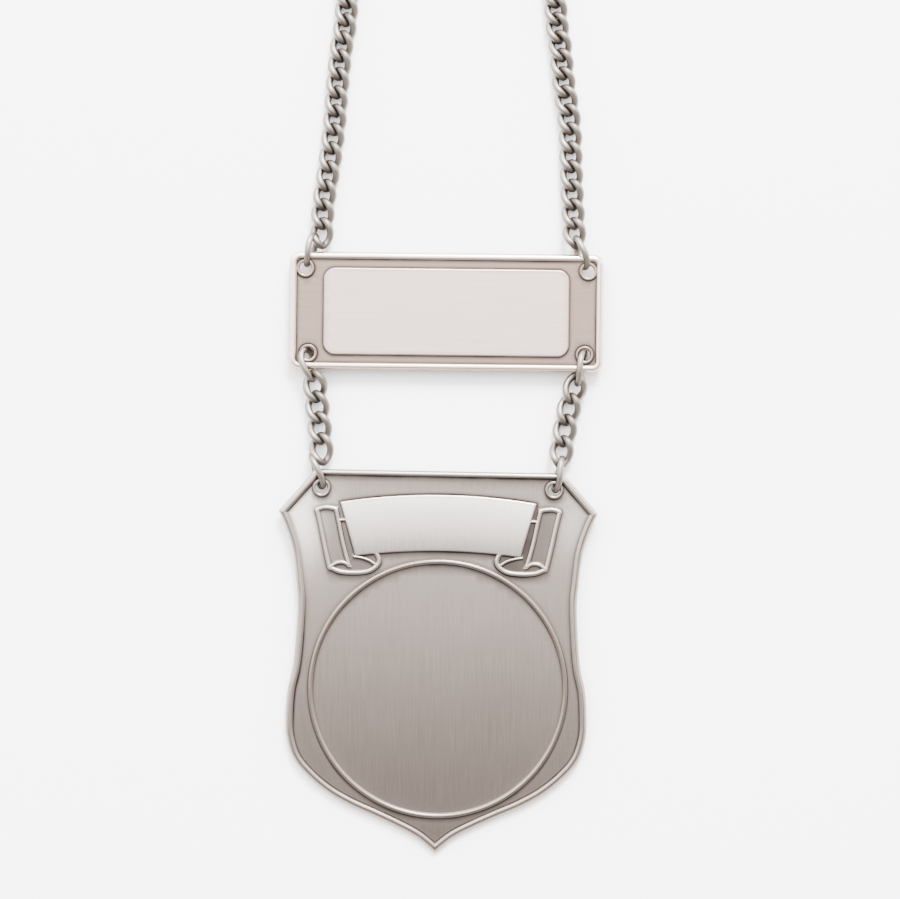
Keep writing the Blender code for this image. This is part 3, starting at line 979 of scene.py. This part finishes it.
    def build(self) -> bpy.types.Object:
        """Makes the casting.

        Returns:
            The finished object in its place.
        """
        flat, faces = self.front()
        values = self.surface(flat)
        shape = bmesh.new()
        patina_and_shade = shape.verts.layers.float.new("patina_and_shade")
        polish_and_sheen = shape.verts.layers.float.new("polish_and_sheen")
        verts = []
        for point, rise, dark, bright in zip(flat, values["rise"], values["patina_and_shade"], values["polish_and_sheen"]):
            vert = shape.verts.new((point[0] * MM, point[1] * MM, (self.field + rise) * MM))
            vert[patina_and_shade] = dark
            vert[polish_and_sheen] = bright
            verts.append(vert)
        for face in faces:
            shape.faces.new([verts[i] for i in face])
        loose = [vert for vert in shape.verts if not vert.link_faces]
        bmesh.ops.delete(shape, geom=loose, context="VERTS")
        back = bmesh.ops.extrude_face_region(shape, geom=shape.faces[:], use_keep_orig=True)["geom"]
        for vert in (part for part in back if isinstance(part, bmesh.types.BMVert)):
            vert.co.z = 0.0
            vert[patina_and_shade] = self.dirt_and_shade.back
            vert[polish_and_sheen] = 0.0
        bmesh.ops.recalc_face_normals(shape, faces=shape.faces)
        bmesh.ops.transform(shape, matrix=self.place, verts=shape.verts)
        return finished(self.name, shape, self.finish.material(), self.sharp_from)


def finished(
    name: str, shape: bmesh.types.BMesh, surface: bpy.types.Material, sharp: float
) -> bpy.types.Object:
    """Turns a bmesh into an object with one finish.

    Args:
        name: The object's name.
        shape: The bmesh, which is freed.
        surface: The finish.
        sharp: Edges that turn by more than this many degrees stay sharp.

    Returns:
        The new object.
    """
    mesh = bpy.data.meshes.new(name)
    shape.to_mesh(mesh)
    shape.free()
    mesh.shade_smooth()
    mesh.set_sharp_from_angle(angle=math.radians(sharp))
    mesh.materials.append(surface)
    thing = bpy.data.objects.new(name, mesh)
    bpy.context.scene.collection.objects.link(thing)
    log.info("%s: %d faces", name, len(mesh.polygons))
    return thing


def dress(thing: bpy.types.Object, nodes: list[str]) -> None:
    """Ties a finished piece to the frame.

    Args:
        thing: The piece.
        nodes: The solids that it stands for.
    """
    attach(thing, "root")
    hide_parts(*nodes)


# Castings


def laid(place: tuple[float, float, float], turn: float, tilt: float = 0.0) -> Matrix:
    """Lays a casting's back at this place, turned about Z, with its upper end tilted up."""
    turned = Matrix.Rotation(math.radians(turn), 4, "Z") @ Matrix.Rotation(math.radians(tilt), 4, "X")
    return Matrix.Translation(Vector(place) * MM) @ turned


@dataclass(frozen=True)
class NamePlate:
    """The name plate: rim, blank raised panel and four eyelets."""

    size: Point = (88.2, 33.1)
    corner: float = 3.0
    panel_size: Point = (69.3, 24.65)
    panel_corner: float = 3.3
    panel_drop: float = 0.1
    field: float = 1.2
    edge: float = 0.7
    step: float = 0.7
    place: tuple[float, float, float] = (1.36, -68.5, 2.82)
    turn: float = -0.65
    eyelets: tuple[Point, ...] = ((-39.77, 11.87), (39.85, 11.81), (-38.78, -12.02), (39.05, -11.69))
    finish: AntiqueSilver = AntiqueSilver(
        "antique_silver_brushed_across", Brushing.ACROSS, "#efdace", "#7b6a60"
    )

    def casting(self) -> Casting:
        """Draws the plate.

        Returns:
            The casting, ready to build.
        """
        outline = resampled(rounded_rectangle(*self.size, self.corner), self.step, True)
        panel = resampled(rounded_rectangle(*self.panel_size, self.panel_corner), self.step, True)
        relief = [
            Rim(outline, width=2.0, height=0.62, field=self.field, edge=self.edge, darkening=0.75),
            Plateau(panel - (0.0, self.panel_drop), height=0.6, shoulder=0.4, polish_and_sheen=0.5, darkening=0.72),
        ]
        place = laid(self.place, self.turn)
        # The plate's foot lines are nearly as dark at the sides as below: less painted shade below its
        # shapes
        dirt_and_shade = DirtAndShade(side=0.85)
        return Casting(
            "plate_casting", outline, self.field, relief, self.eyelets, place, self.finish, dirt_and_shade
        )

    def build(self) -> None:
        """Builds the plate and ties it to the frame."""
        dress(self.casting().build(), ["name_plate"])


@dataclass(frozen=True)
class FoldedEnd:
    """One folded ribbon end beside the banner, drawn on the right and flipped for the left."""

    side: int
    # The two ends aren't equally dirty
    dirt_share: float
    height: float = 0.55
    polish_and_sheen: float = 0.38
    curve_steps: int = 6
    step: float = 0.5
    # Each raised line's points, its width, and its width at the end where it thins out
    lines: tuple[tuple[tuple[Point, ...], float, float | None], ...] = (
        (((34.2, 50.2), (33.1, 45.6), (32.0, 40.4), (31.2, 36.8), (30.5, 33.9)), 1.4, None),
        (((28.8, 50.4), (30.4, 50.75), (32.4, 50.8), (34.2, 50.2)), 1.35, None),
        (((28.8, 50.4), (27.9, 46.3), (26.9, 41.5), (25.9, 37.6), (25.0, 34.6)), 1.3, None),
        (((25.0, 34.6), (26.6, 35.4), (28.6, 35.2), (30.5, 33.9)), 1.15, None),
        (
            (
                (30.4, 33.9),
                (27.4, 32.75),
                (23.3, 32.5),
                (19.5, 33.0),
                (17.1, 34.6),
                (16.6, 36.25),
                (17.4, 38.2),
            ),
            1.4,
            None,
        ),
        (((17.7, 35.0), (19.4, 36.1), (21.6, 36.8), (23.6, 37.1)), 1.0, 0.8),
        (((28.1, 47.3), (26.0, 47.45)), 0.9, None),
    )
    # Sunken parts where dirt covers the field: the outline, and the amount of dirt
    sunken: tuple[tuple[tuple[Point, ...], float], ...] = (
        (((29.0, 50.5), (34.0, 50.5), (30.5, 34.2), (25.2, 34.9)), 0.5),
        (((28.9, 50.6), (27.8, 52.4), (23.4, 37.1), (25.0, 34.6)), 0.7),
        (((30.0, 34.0), (23.3, 32.6), (17.5, 34.6), (17.6, 37.6), (25.0, 38.0)), 0.62),
    )

    def ridges(self) -> list[Relief]:
        """Draws its raised lines.

        Returns:
            One ridge a line.
        """
        made: list[Relief] = []
        for points, width, end_width in self.lines:
            curve = curve_through(points, self.curve_steps)
            line = resampled(curve, self.step, False) * (self.side, 1.0)
            made.append(Ridge(line, width, self.height, polish_and_sheen=self.polish_and_sheen, end_width=end_width))
        return made

    def stains(self) -> list[tuple[np.ndarray, float]]:
        """Its sunken parts: each one's outline and amount of dirt."""
        return [(np.array(edge) * (self.side, 1), darkening * self.dirt_share) for edge, darkening in self.sunken]


@dataclass(frozen=True)
class Shield:
    """The shield: rim, emblem ring, blank banner with folded ends and two eyelets."""

    # Its right edge from the shoulder's tip down to the foot's tip
    edge_points: tuple[Point, ...] = (
        (44.9, 49.8),
        (42.75, 45.0),
        (40.75, 38.5),
        (39.75, 30.0),
        (39.3, 24.0),
        (39.7, 14.4),
        (40.5, 6.0),
        (41.9, -0.5),
        (42.4, -7.5),
        (42.2, -13.6),
        (40.2, -20.0),
        (35.9, -25.2),
        (30.3, -29.8),
        (23.9, -33.4),
        (17.3, -36.3),
        (10.8, -39.3),
        (5.0, -42.4),
        (0.0, -46.5),
    )
    top: float = 61.35
    top_half_width: float = 34.8
    top_slope: float = 0.0084
    filed_above: float = 60.0
    field: float = 1.2
    edge: float = 0.7
    step: float = 0.7
    # How many steps the side takes between two of its points, and the banner from middle to end
    side_steps: int = 6
    banner_steps: int = 30
    ring_radius: float = 35.95
    ring_sides: int = 320
    ring_centre: Point = (0.35, -0.1)
    # Of the banner's upper and lower edge: half the width, the middle's height, the ends' drop
    banner_top: tuple[float, float, float] = (27.75, 54.75, 2.25)
    banner_foot: tuple[float, float, float] = (23.4, 38.7, 1.6)
    place: tuple[float, float, float] = (-1.42, -174.6, 1.3)
    turn: float = -0.6
    tilt: float = 1.54
    eyelets: tuple[Point, ...] = ((-32.95, 56.35), (32.55, 56.35))
    folded_ends: tuple[FoldedEnd, ...] = (FoldedEnd(-1, 0.95), FoldedEnd(1, 1.25))
    # Painted highlights on the open field near the top corners, brightest on the left
    painted_tone: tuple[Patch, ...] = (
        Patch((-40.0, 48.0), (8.0, 12.0), 1.0),
        Patch((38.0, 47.0), (6.0, 9.0), 0.25),
    )
    wiped: tuple[Patch, ...] = (
        Patch((-41.0, 34.0), (6.0, 12.0), 0.75),
        Patch((41.0, 26.0), (6.0, 24.0), 0.45),
    )
    finish: AntiqueSilver = AntiqueSilver("antique_silver_brushed_down", Brushing.DOWN)

    def outline(self) -> np.ndarray:
        """Draws the shield's edge.

        Returns:
            Points round it, anticlockwise.
        """
        top = np.array([(0.0, self.top), (self.top_half_width, self.top)])
        half = np.vstack([top, curve_through(self.edge_points, self.side_steps)])
        outline = resampled(mirrored(half), self.step, True)[::-1]
        # The top edge was filed a little lower on the right
        on_top = outline[:, 1] > self.filed_above
        outline[:, 1] -= np.where(on_top, self.top_slope * outline[:, 0], 0.0)
        return outline

    def banner(self) -> Plateau:
        """Draws the blank banner.

        Returns:
            A plateau with an arched top and foot, crowned and rubbed, with a painted highlight along
            its top.
        """
        share = np.linspace(0, 1, self.banner_steps)
        top, foot = (
            np.stack([half * share, middle - drop * share**2], 1)
            for half, middle, drop in (self.banner_top, self.banner_foot)
        )
        outline = resampled(mirrored(np.vstack([top, foot[::-1]])), self.step, True)[::-1]
        return Plateau(
            outline,
            height=0.5,
            shoulder=0.4,
            polish_and_sheen=0.44,
            # Painted highlight along the banner's top
            top_sheen=0.55,
            crown=0.2,
            arch=(46.72, 0.0031, 8.0),
            darkening=0.95,
        )

    def casting(self) -> Casting:
        """Draws the shield.

        Returns:
            The casting, ready to build.
        """
        outline = self.outline()
        rim = Rim(
            outline,
            width=2.1,
            height=0.62,
            field=self.field,
            edge=self.edge,
            polish_and_sheen=0.1,
            top_width=1.65,
            darkening=1.0,
        )
        ring_line = circle(self.ring_radius, self.ring_sides, self.ring_centre)
        ring = Ridge(ring_line, width=1.5, height=0.6, closed=True, polish_and_sheen=0.0, darkening=0.68)
        relief = [rim, ring, self.banner()]
        stains = []
        for end in self.folded_ends:
            relief += end.ridges()
            stains += end.stains()
        return Casting(
            "shield_casting",
            outline,
            self.field,
            relief,
            self.eyelets,
            laid(self.place, self.turn, self.tilt),
            self.finish,
            # Longer painted shadows below the shield's relief
            DirtAndShade(shadow_length=2.1),
            stains=stains,
            painted_tone=self.painted_tone,
            wiped=self.wiped,
        )

    def build(self) -> None:
        """Builds the shield and ties it to the frame."""
        dress(self.casting().build(), ["shield"])


# Chains


def past(value: float, start: float) -> float:
    """How far a value is on its way from a start to one, as a share."""
    return max(0.0, value - start) / (1 - start)


@dataclass(frozen=True)
class CurbLink:
    """A wire link along Y, centred at nought, its ends turned by the twist in radians."""

    half_length: float
    half_width: float
    twist: float
    wire: float = 1.0
    around: int = 44
    sides: int = 12
    # The plain ring that is bent into the link, in wire radii
    ring_radius: float = 2.0

    def template(self) -> bmesh.types.BMesh:
        """Makes the link: a ring spun from a circle, then drawn out and twisted.

        Returns:
            The link in metres, with a value for dirt and painted shade at every point.
        """
        shape = bmesh.new()
        lying = Matrix.Translation((self.ring_radius, 0, 0)) @ Matrix.Rotation(math.pi / 2, 4, "X")
        bmesh.ops.create_circle(shape, segments=self.sides, radius=1.0, matrix=lying)
        bmesh.ops.spin(
            shape,
            geom=shape.verts[:] + shape.edges[:],
            cent=(0, 0, 0),
            axis=(0, 0, 1),
            angle=math.tau,
            steps=self.around,
            use_merge=True,
        )
        patina_and_shade = shape.verts.layers.float.new("patina_and_shade")
        for vert in shape.verts:
            angle = math.atan2(vert.co.y, vert.co.x)
            outward = math.hypot(vert.co.x, vert.co.y) - self.ring_radius
            vert.co, vert[patina_and_shade] = self.bent(angle, outward, vert.co.z)
        # The bend turns the ring inside out, and only fresh normals show that to the operator
        shape.normal_update()
        bmesh.ops.recalc_face_normals(shape, faces=shape.faces)
        return shape

    def bent(self, angle: float, outward: float, up: float) -> tuple[Vector, float]:
        """Bends a point of the plain ring.

        Args:
            angle: Its place round the ring, in radians.
            outward: How far out it is from the wire's middle, in wire radii.
            up: How far up it is, in wire radii.

        Returns:
            Its place in metres, and its dirt and painted shade.
        """
        x, y = math.cos(angle), math.sin(angle)
        turn = self.twist * y
        cos, sin = math.cos(turn), math.sin(turn)
        middle = Vector((self.half_width * x * cos, self.half_length * y, self.half_width * x * sin))
        change = -self.half_width * y * Vector((cos, 0, sin))
        spin = self.half_width * x * self.twist * x * Vector((-sin, 0, cos))
        along = (change + spin + Vector((0, self.half_length * x, 0))).normalized()
        away = Vector((x / self.half_width * cos, y / self.half_length, x / self.half_width * sin))
        away = (away - along * away.dot(along)).normalized()
        over = away.cross(along)
        point = middle + (away * outward - over * up) * self.wire
        # Dirt and painted shade: darker on the inside of each end, where the next link passes, all
        # round the inside of the ring, and over the end arcs, where links lie over each other
        painted_tone = past(abs(y), 0.55) * max(0.0, -outward)
        inside_bend = past(-outward, 0.3)
        end = past(abs(y), 0.65) * max(0.0, 0.6 + 0.4 * outward - 0.6 * up)
        return point * MM, min(1.0, 0.5 * painted_tone + 0.5 * inside_bend + 0.75 * end)


def link_place(centre: Vector, direction: Vector, roll: float = 0.0) -> Matrix:
    """Works out where a link goes.

    Args:
        centre: Its middle, in metres.
        direction: The way its length goes.
        roll: How far it is turned about its length, in radians. It lies flat at nought.

    Returns:
        The matrix that puts it there.
    """
    along = direction.normalized()
    side = along.cross(Vector((0, 0, 1))).normalized()
    up = side.cross(along)
    turned = Matrix((side, along, up)).transposed().to_4x4()
    return Matrix.Translation(centre) @ turned @ Matrix.Rotation(roll, 4, "Y")


@dataclass
class LinkRun:
    """Links of one size in the places given, each out of line by about the unrest in degrees."""

    name: str
    link: CurbLink
    places: list[Matrix]
    finish: bpy.types.Material
    unrest: float = 0.0
    seed: int = 1
    sway_share: float = 0.6
    sharp_from: float = 60.0

    def build(self) -> bpy.types.Object:
        """Makes the run, each link a hair out of line as hand-laid chain is.

        Returns:
            One object with all the links.
        """
        chance = random.Random(self.seed)
        pattern = bpy.data.meshes.new(self.name + "_pattern")
        made = self.link.template()
        made.to_mesh(pattern)
        made.free()
        shape = bmesh.new()
        for place in self.places:
            before = len(shape.verts)
            shape.from_mesh(pattern)
            shape.verts.ensure_lookup_table()
            roll = Matrix.Rotation(math.radians(chance.gauss(0, self.unrest)), 4, "Y")
            swing = chance.gauss(0, self.unrest * self.sway_share)
            sway = Matrix.Rotation(math.radians(swing), 4, "Z")
            bmesh.ops.transform(shape, matrix=place @ (roll @ sway), verts=shape.verts[before:])
        bpy.data.meshes.remove(pattern)
        return finished(self.name, shape, self.finish, self.sharp_from)


def places_along(
    line: np.ndarray, pitches: list[float], height: float, rise: float, reach: float
) -> list[Matrix]:
    """Works out where a run's links go.

    Args:
        line: The run's middle line from above.
        pitches: The distance from each link to the next.
        height: How high the lying links' middles are.
        rise: How much higher the run's ends are.
        reach: How far from an end the rise starts.

    Returns:
        One matrix a link.
    """
    steps = np.linalg.norm(np.diff(line, axis=0), axis=1)
    walked = np.concatenate([[0.0], np.cumsum(steps)])
    wanted = np.concatenate([[0.0], np.cumsum(pitches)])
    places = []
    for at in wanted:
        index = min(int(np.searchsorted(walked, at, side="right")) - 1, len(steps) - 1)
        index = max(index, 0)
        flat = (line[index + 1] - line[index]) / steps[index]
        point = line[index] + flat * (at - walked[index])
        share = max(0.0, 1 - min(at, wanted[-1] - at) / reach)
        slope = 2 * rise * share / reach * (-1 if at < wanted[-1] / 2 else 1)
        centre = Vector((point[0], point[1], height + rise * share**2)) * MM
        places.append(link_place(centre, Vector((flat[0], flat[1], slope))))
    return places


@dataclass(frozen=True)
class NeckChain:
    """The long chain: two strands that the photo shows, and a plain turn beyond its edge.

    Its pitch is tight at the plate, where the strands are drawn straight, and slack further on.
    """

    left: tuple[Point, ...] = (
        (-33.69, -46.22),
        (-33.24, -38.02),
        (-31.57, -26.71),
        (-30.16, -15.40),
        (-29.28, -4.09),
        (-28.09, 7.23),
        (-26.65, 18.54),
    )
    right: tuple[Point, ...] = (
        (37.46, -46.22),
        (37.01, -38.02),
        (36.59, -26.71),
        (36.16, -15.40),
        (34.58, -4.09),
        (33.45, 7.23),
        (32.15, 18.54),
    )
    link: CurbLink = CurbLink(3.735, 2.39, 0.9)
    links_per_side: int = 55
    tight_pitch: float = 5.46
    slack_pitch: float = 5.05
    slack_after: int = 12
    turn_radius: float = 23.5
    turn_x: float = 2.74
    height: float = 1.95
    rise: float = 1.1
    rise_length: float = 12.0
    # Past the photo's edge: the share of the way to the turn, and how far out the strand still is
    taper: tuple[Point, ...] = ((0.33, 0.40), (0.66, 0.10), (0.9, 0.0))
    turn_steps: int = 8
    curve_steps: int = 24
    # The turn starts between these heights, and the search halves what is left this many times
    turn_between: Point = (20.0, 400.0)
    halvings: int = 40
    unrest: float = 1.2
    # Each side's start for its random unrest
    seeds: tuple[int, int] = (3, 5)

    def pitches(self) -> list[float]:
        """Works out the distance from each link to the next, from the plate round to the plate.

        Returns:
            One distance for each pair of neighbours.
        """
        count = 2 * self.links_per_side - 1
        near = [min(i, count - 1 - i) for i in range(count)]
        slack = [min(i / self.slack_after, 1.0) for i in near]
        return [self.tight_pitch + (self.slack_pitch - self.tight_pitch) * s for s in slack]

    def line(self, turn_y: float) -> np.ndarray:
        """Draws the chain's middle line.

        Args:
            turn_y: Where its round turn starts.

        Returns:
            Points from the left end to the right end.
        """
        strands = []
        for strand, side in ((self.left, -1), (self.right, 1)):
            points = list(strand)
            last = points[-1]
            goal_x = self.turn_x + side * self.turn_radius
            for share, open_share in self.taper:
                x = goal_x + (last[0] - goal_x) * open_share
                points.append((x, last[1] + (turn_y - last[1]) * share))
            strands.append(points)
        angles = [math.pi * (1 - step / self.turn_steps) for step in range(self.turn_steps + 1)]
        radius = self.turn_radius
        turn = [(self.turn_x + radius * math.cos(a), turn_y + radius * math.sin(a)) for a in angles]
        return curve_through(strands[0] + turn + strands[1][::-1], self.curve_steps)

    def places(self) -> list[Matrix]:
        """Finds the turn that makes the line as long as the chain, and lays the links along it.

        Returns:
            One matrix a link, from the left end at the plate to the right one.
        """
        pitches = self.pitches()
        low, high = self.turn_between
        for _ in range(self.halvings):
            turn_y = (low + high) / 2
            length = np.linalg.norm(np.diff(self.line(turn_y), axis=0), axis=1).sum()
            low, high = (low, turn_y) if length > sum(pitches) else (turn_y, high)
        return places_along(self.line(turn_y), pitches, self.height, self.rise, self.rise_length)

    def build(self, finish: bpy.types.Material) -> None:
        """Builds both halves and ties them to the frame.

        Args:
            finish: The wire's finish.
        """
        places = self.places()
        half = len(places) // 2
        parts = (places[:half], places[half:])
        for side, part, seed in zip(("left", "right"), parts, self.seeds):
            run = LinkRun(f"neck_links_{side}", self.link, part, finish, self.unrest, seed)
            dress(run.build(), [f"neck_chain_{side}"])


@dataclass(frozen=True)
class ShortChain:
    """Four lying links between the plate and the shield, given by their middles."""

    side: str
    middles: tuple[Point, ...]
    link: CurbLink = CurbLink(3.97, 2.55, 0.9)
    height: float = 2.0
    rise: float = 0.95
    rise_length: float = 8.8

    def build(self, finish: bpy.types.Material) -> None:
        """Builds the chain and ties it to the frame.

        Args:
            finish: The wire's finish.
        """
        pairs = zip(self.middles, self.middles[1:])
        pitches = [float(np.linalg.norm(np.subtract(after, here))) for here, after in pairs]
        line = curve_through(self.middles, 8)
        places = places_along(line, pitches, self.height, self.rise, self.rise_length)
        run = LinkRun(f"short_links_{self.side}", self.link, places, finish)
        nodes = [f"{self.side}_chain_link_{number + 1}" for number in range(len(self.middles))]
        dress(run.build(), nodes)


@dataclass(frozen=True)
class StandingLink:
    """A link on edge through an eyelet, from the wire in the hole to the wire at its far end."""

    node: str
    hole: Point
    far: Point
    lean: float
    twist: float = 0.25
    half_width: float = 2.75
    wire: float = 0.9
    clearance: float = 0.02

    def build(self, finish: bpy.types.Material) -> None:
        """Builds the link and ties it to the frame.

        Args:
            finish: The wire's finish.
        """
        hole, far = Vector(self.hole), Vector(self.far)
        half_length = (far - hole).length / 2
        link = CurbLink(half_length, self.half_width, self.twist, self.wire, around=56, sides=14)
        height = self.wire + self.half_width * math.cos(math.radians(self.lean)) + self.clearance
        middle = ((hole + far) / 2).to_3d() + Vector((0, 0, height))
        roll = math.pi / 2 - math.radians(self.lean)
        place = link_place(middle * MM, (far - hole).to_3d(), roll)
        run = LinkRun(self.node + "_wire", link, [place], finish)
        dress(run.build(), [self.node])


SHORT_CHAINS = (
    ShortChain("left", ((-35.56, -89.35), (-34.99, -95.24), (-34.37, -101.15), (-33.86, -107.03))),
    ShortChain("right", ((37.60, -89.92), (35.91, -95.88), (34.78, -101.85), (33.79, -107.82))),
)
END_LINKS = (
    StandingLink("plate_top_left_link", (-37.9, -54.99), (-35.7, -46.9), 15.0),
    StandingLink("plate_top_right_link", (40.5, -55.84), (37.9, -47.64), -18.0),
    StandingLink("plate_bottom_left_link", (-38.5, -79.03), (-36.3, -87.5), -32.0),
    StandingLink("plate_bottom_right_link", (40.15, -79.88), (38.3, -88.7), -8.0),
    StandingLink("shield_left_link", (-33.6, -117.6), (-36.6, -109.0), -12.0),
    StandingLink("shield_right_link", (32.0, -118.7), (34.0, -109.7), -6.0),
)


# Studio


@dataclass(frozen=True)
class Lamp:
    """A square soft lamp: where it is, what it points at and its size, in metres, and its watts."""

    name: str
    place: tuple[float, float, float]
    aim: tuple[float, float, float]
    size: float
    power: float
    colour: str = "#f6f9ff"

    def build(self) -> None:
        """Adds the lamp."""
        lamp = bpy.data.lights.new(self.name, "AREA")
        lamp.shape = "SQUARE"
        lamp.size = self.size
        lamp.energy = self.power
        lamp.color = linear(self.colour)[:3]
        thing = bpy.data.objects.new(self.name, lamp)
        thing.location = self.place
        facing = Vector(self.aim) - Vector(self.place)
        thing.rotation_euler = facing.to_track_quat("-Z", "Y").to_euler()
        bpy.context.scene.collection.objects.link(thing)


@dataclass(frozen=True)
class Studio:
    """The pale table, the soft light and the camera. Its lengths are metres."""

    wall: float = 5.6
    ceiling: float = 1.95
    # How bright the room is on the side away from the lamps, and on their side
    away_side: float = 0.42
    lamp_side: float = 2.4
    air_colour: str = "#fff7f1"
    table_colour: str = "#f6f6f6"
    table_half: float = 3.0
    lamps: tuple[Lamp, ...] = (
        Lamp("soft_box", (-0.35, 0.5, 1.2), (-0.35, 0.5, 0.0), 1.6, 34.0),
        Lamp("soft_core", (-0.2, 0.65, 1.19), (-0.2, 0.65, 0.0), 1.0, 14.0),
        Lamp("window_lamp", (0.25, 1.0, 0.95), (0.0, -0.1, 0.0), 0.42, 92.0),
    )
    # The photo is taken from straight above, and this is as wide as it shows of the table
    camera_place: tuple[float, float, float] = (0.002395, -0.1072, 0.85)
    view_width: float = 0.2545
    sensor_mm: float = 36.0

    def build(self) -> None:
        """Sets up everything round the object."""
        self.table()
        self.room()
        for lamp in self.lamps:
            lamp.build()
        self.camera()

    def table(self) -> None:
        """Adds a wide plain table top."""
        shape = bmesh.new()
        bmesh.ops.create_grid(shape, x_segments=1, y_segments=1, size=self.table_half)
        mesh = bpy.data.meshes.new("table_top")
        shape.to_mesh(mesh)
        shape.free()
        # Matt white laminate, so that the table throws soft light up at the chain
        laminate = new_material("matt_white_laminate")
        settings = {"Base Color": linear(self.table_colour), "Roughness": 0.9}
        surface = add_node(laminate.node_tree, "BsdfPrincipled", settings)
        add_node(laminate.node_tree, "OutputMaterial", {}, {"Surface": surface})
        mesh.materials.append(laminate)
        top = bpy.data.objects.new("table_top", mesh)
        bpy.context.scene.collection.objects.link(top)

    def room(self) -> None:
        """Adds the room: white walls, brighter on the lamps' side, under a dim ceiling."""
        world = bpy.data.worlds.new("studio_air")
        world.use_nodes = True
        tree = world.node_tree
        tree.nodes.clear()
        place = add_node(tree, "TexCoord").outputs["Generated"]
        split = add_node(tree, "SeparateXYZ", {}, {0: place})
        fades = []
        for axis, reach, amount in (
            ("Z", (0.55, 0.85), (self.wall, self.ceiling)),
            ("Y", (-0.35, 0.85), (self.away_side, self.lamp_side)),
        ):
            names = ("From Min", "From Max", "To Min", "To Max")
            settings = {"interpolation_type": "SMOOTHSTEP"} | dict(zip(names, reach + amount))
            fades.append(add_node(tree, "MapRange", settings, {"Value": split.outputs[axis]}))
        both = add_node(tree, "Math", {"operation": "MULTIPLY"}, dict(enumerate(fades)))
        colour = {"Color": linear(self.air_colour)}
        air = add_node(tree, "Background", colour, {"Strength": both})
        add_node(tree, "OutputWorld", {}, {"Surface": air})
        bpy.context.scene.world = world

    def camera(self) -> None:
        """Adds the camera, which looks straight down on the photo's middle."""
        lens = bpy.data.cameras.new("photo_camera")
        lens.sensor_width = self.sensor_mm
        lens.lens = self.sensor_mm * self.camera_place[2] / self.view_width
        lens.clip_start = 0.01
        thing = bpy.data.objects.new("photo_camera", lens)
        thing.location = self.camera_place
        bpy.context.scene.collection.objects.link(thing)
        bpy.context.scene.camera = thing


def main() -> None:
    """Builds every piece and the studio."""
    logging.basicConfig(level=logging.INFO)
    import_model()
    NamePlate().build()
    Shield().build()
    wire = SatinWire("satin_silvered_wire").material()
    for chain in (NeckChain(), *SHORT_CHAINS, *END_LINKS):
        chain.build(wire)
    Studio().build()


if __name__ == "__main__":
    main()
